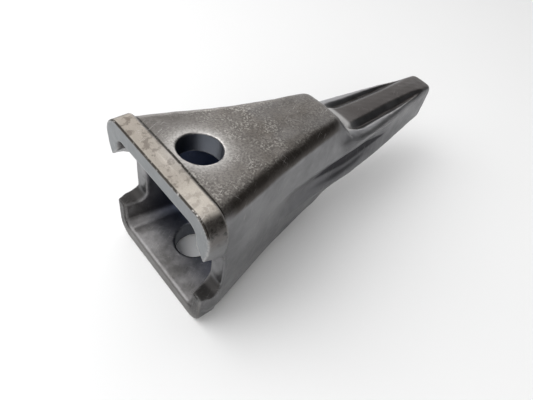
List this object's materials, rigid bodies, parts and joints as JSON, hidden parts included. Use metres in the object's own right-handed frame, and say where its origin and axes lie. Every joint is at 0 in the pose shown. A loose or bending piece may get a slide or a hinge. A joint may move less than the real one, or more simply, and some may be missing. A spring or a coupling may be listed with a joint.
{
  "type": "excavator bucket tooth",
  "caption": "Forged bucket tooth with a tapered rear socket, a cross bore for the retaining pin, notched side walls and a fluted rock-chisel point.",
  "frame": {"origin": "middle of the retaining pin's bore, on the bore axis", "axes": "+X along the tooth to its cutting edge, +Z along the pin bore, +Y across the side walls; the tooth is stored lying on one bored wall"},
  "size_m": [0.2517, 0.0974, 0.0986],
  "materials": {
    "forged_steel": "as-forged grey steel with brown scale"
  },
  "bodies": {
    "root": {"tooth": "forged_steel"}
  },
  "joints": []
}
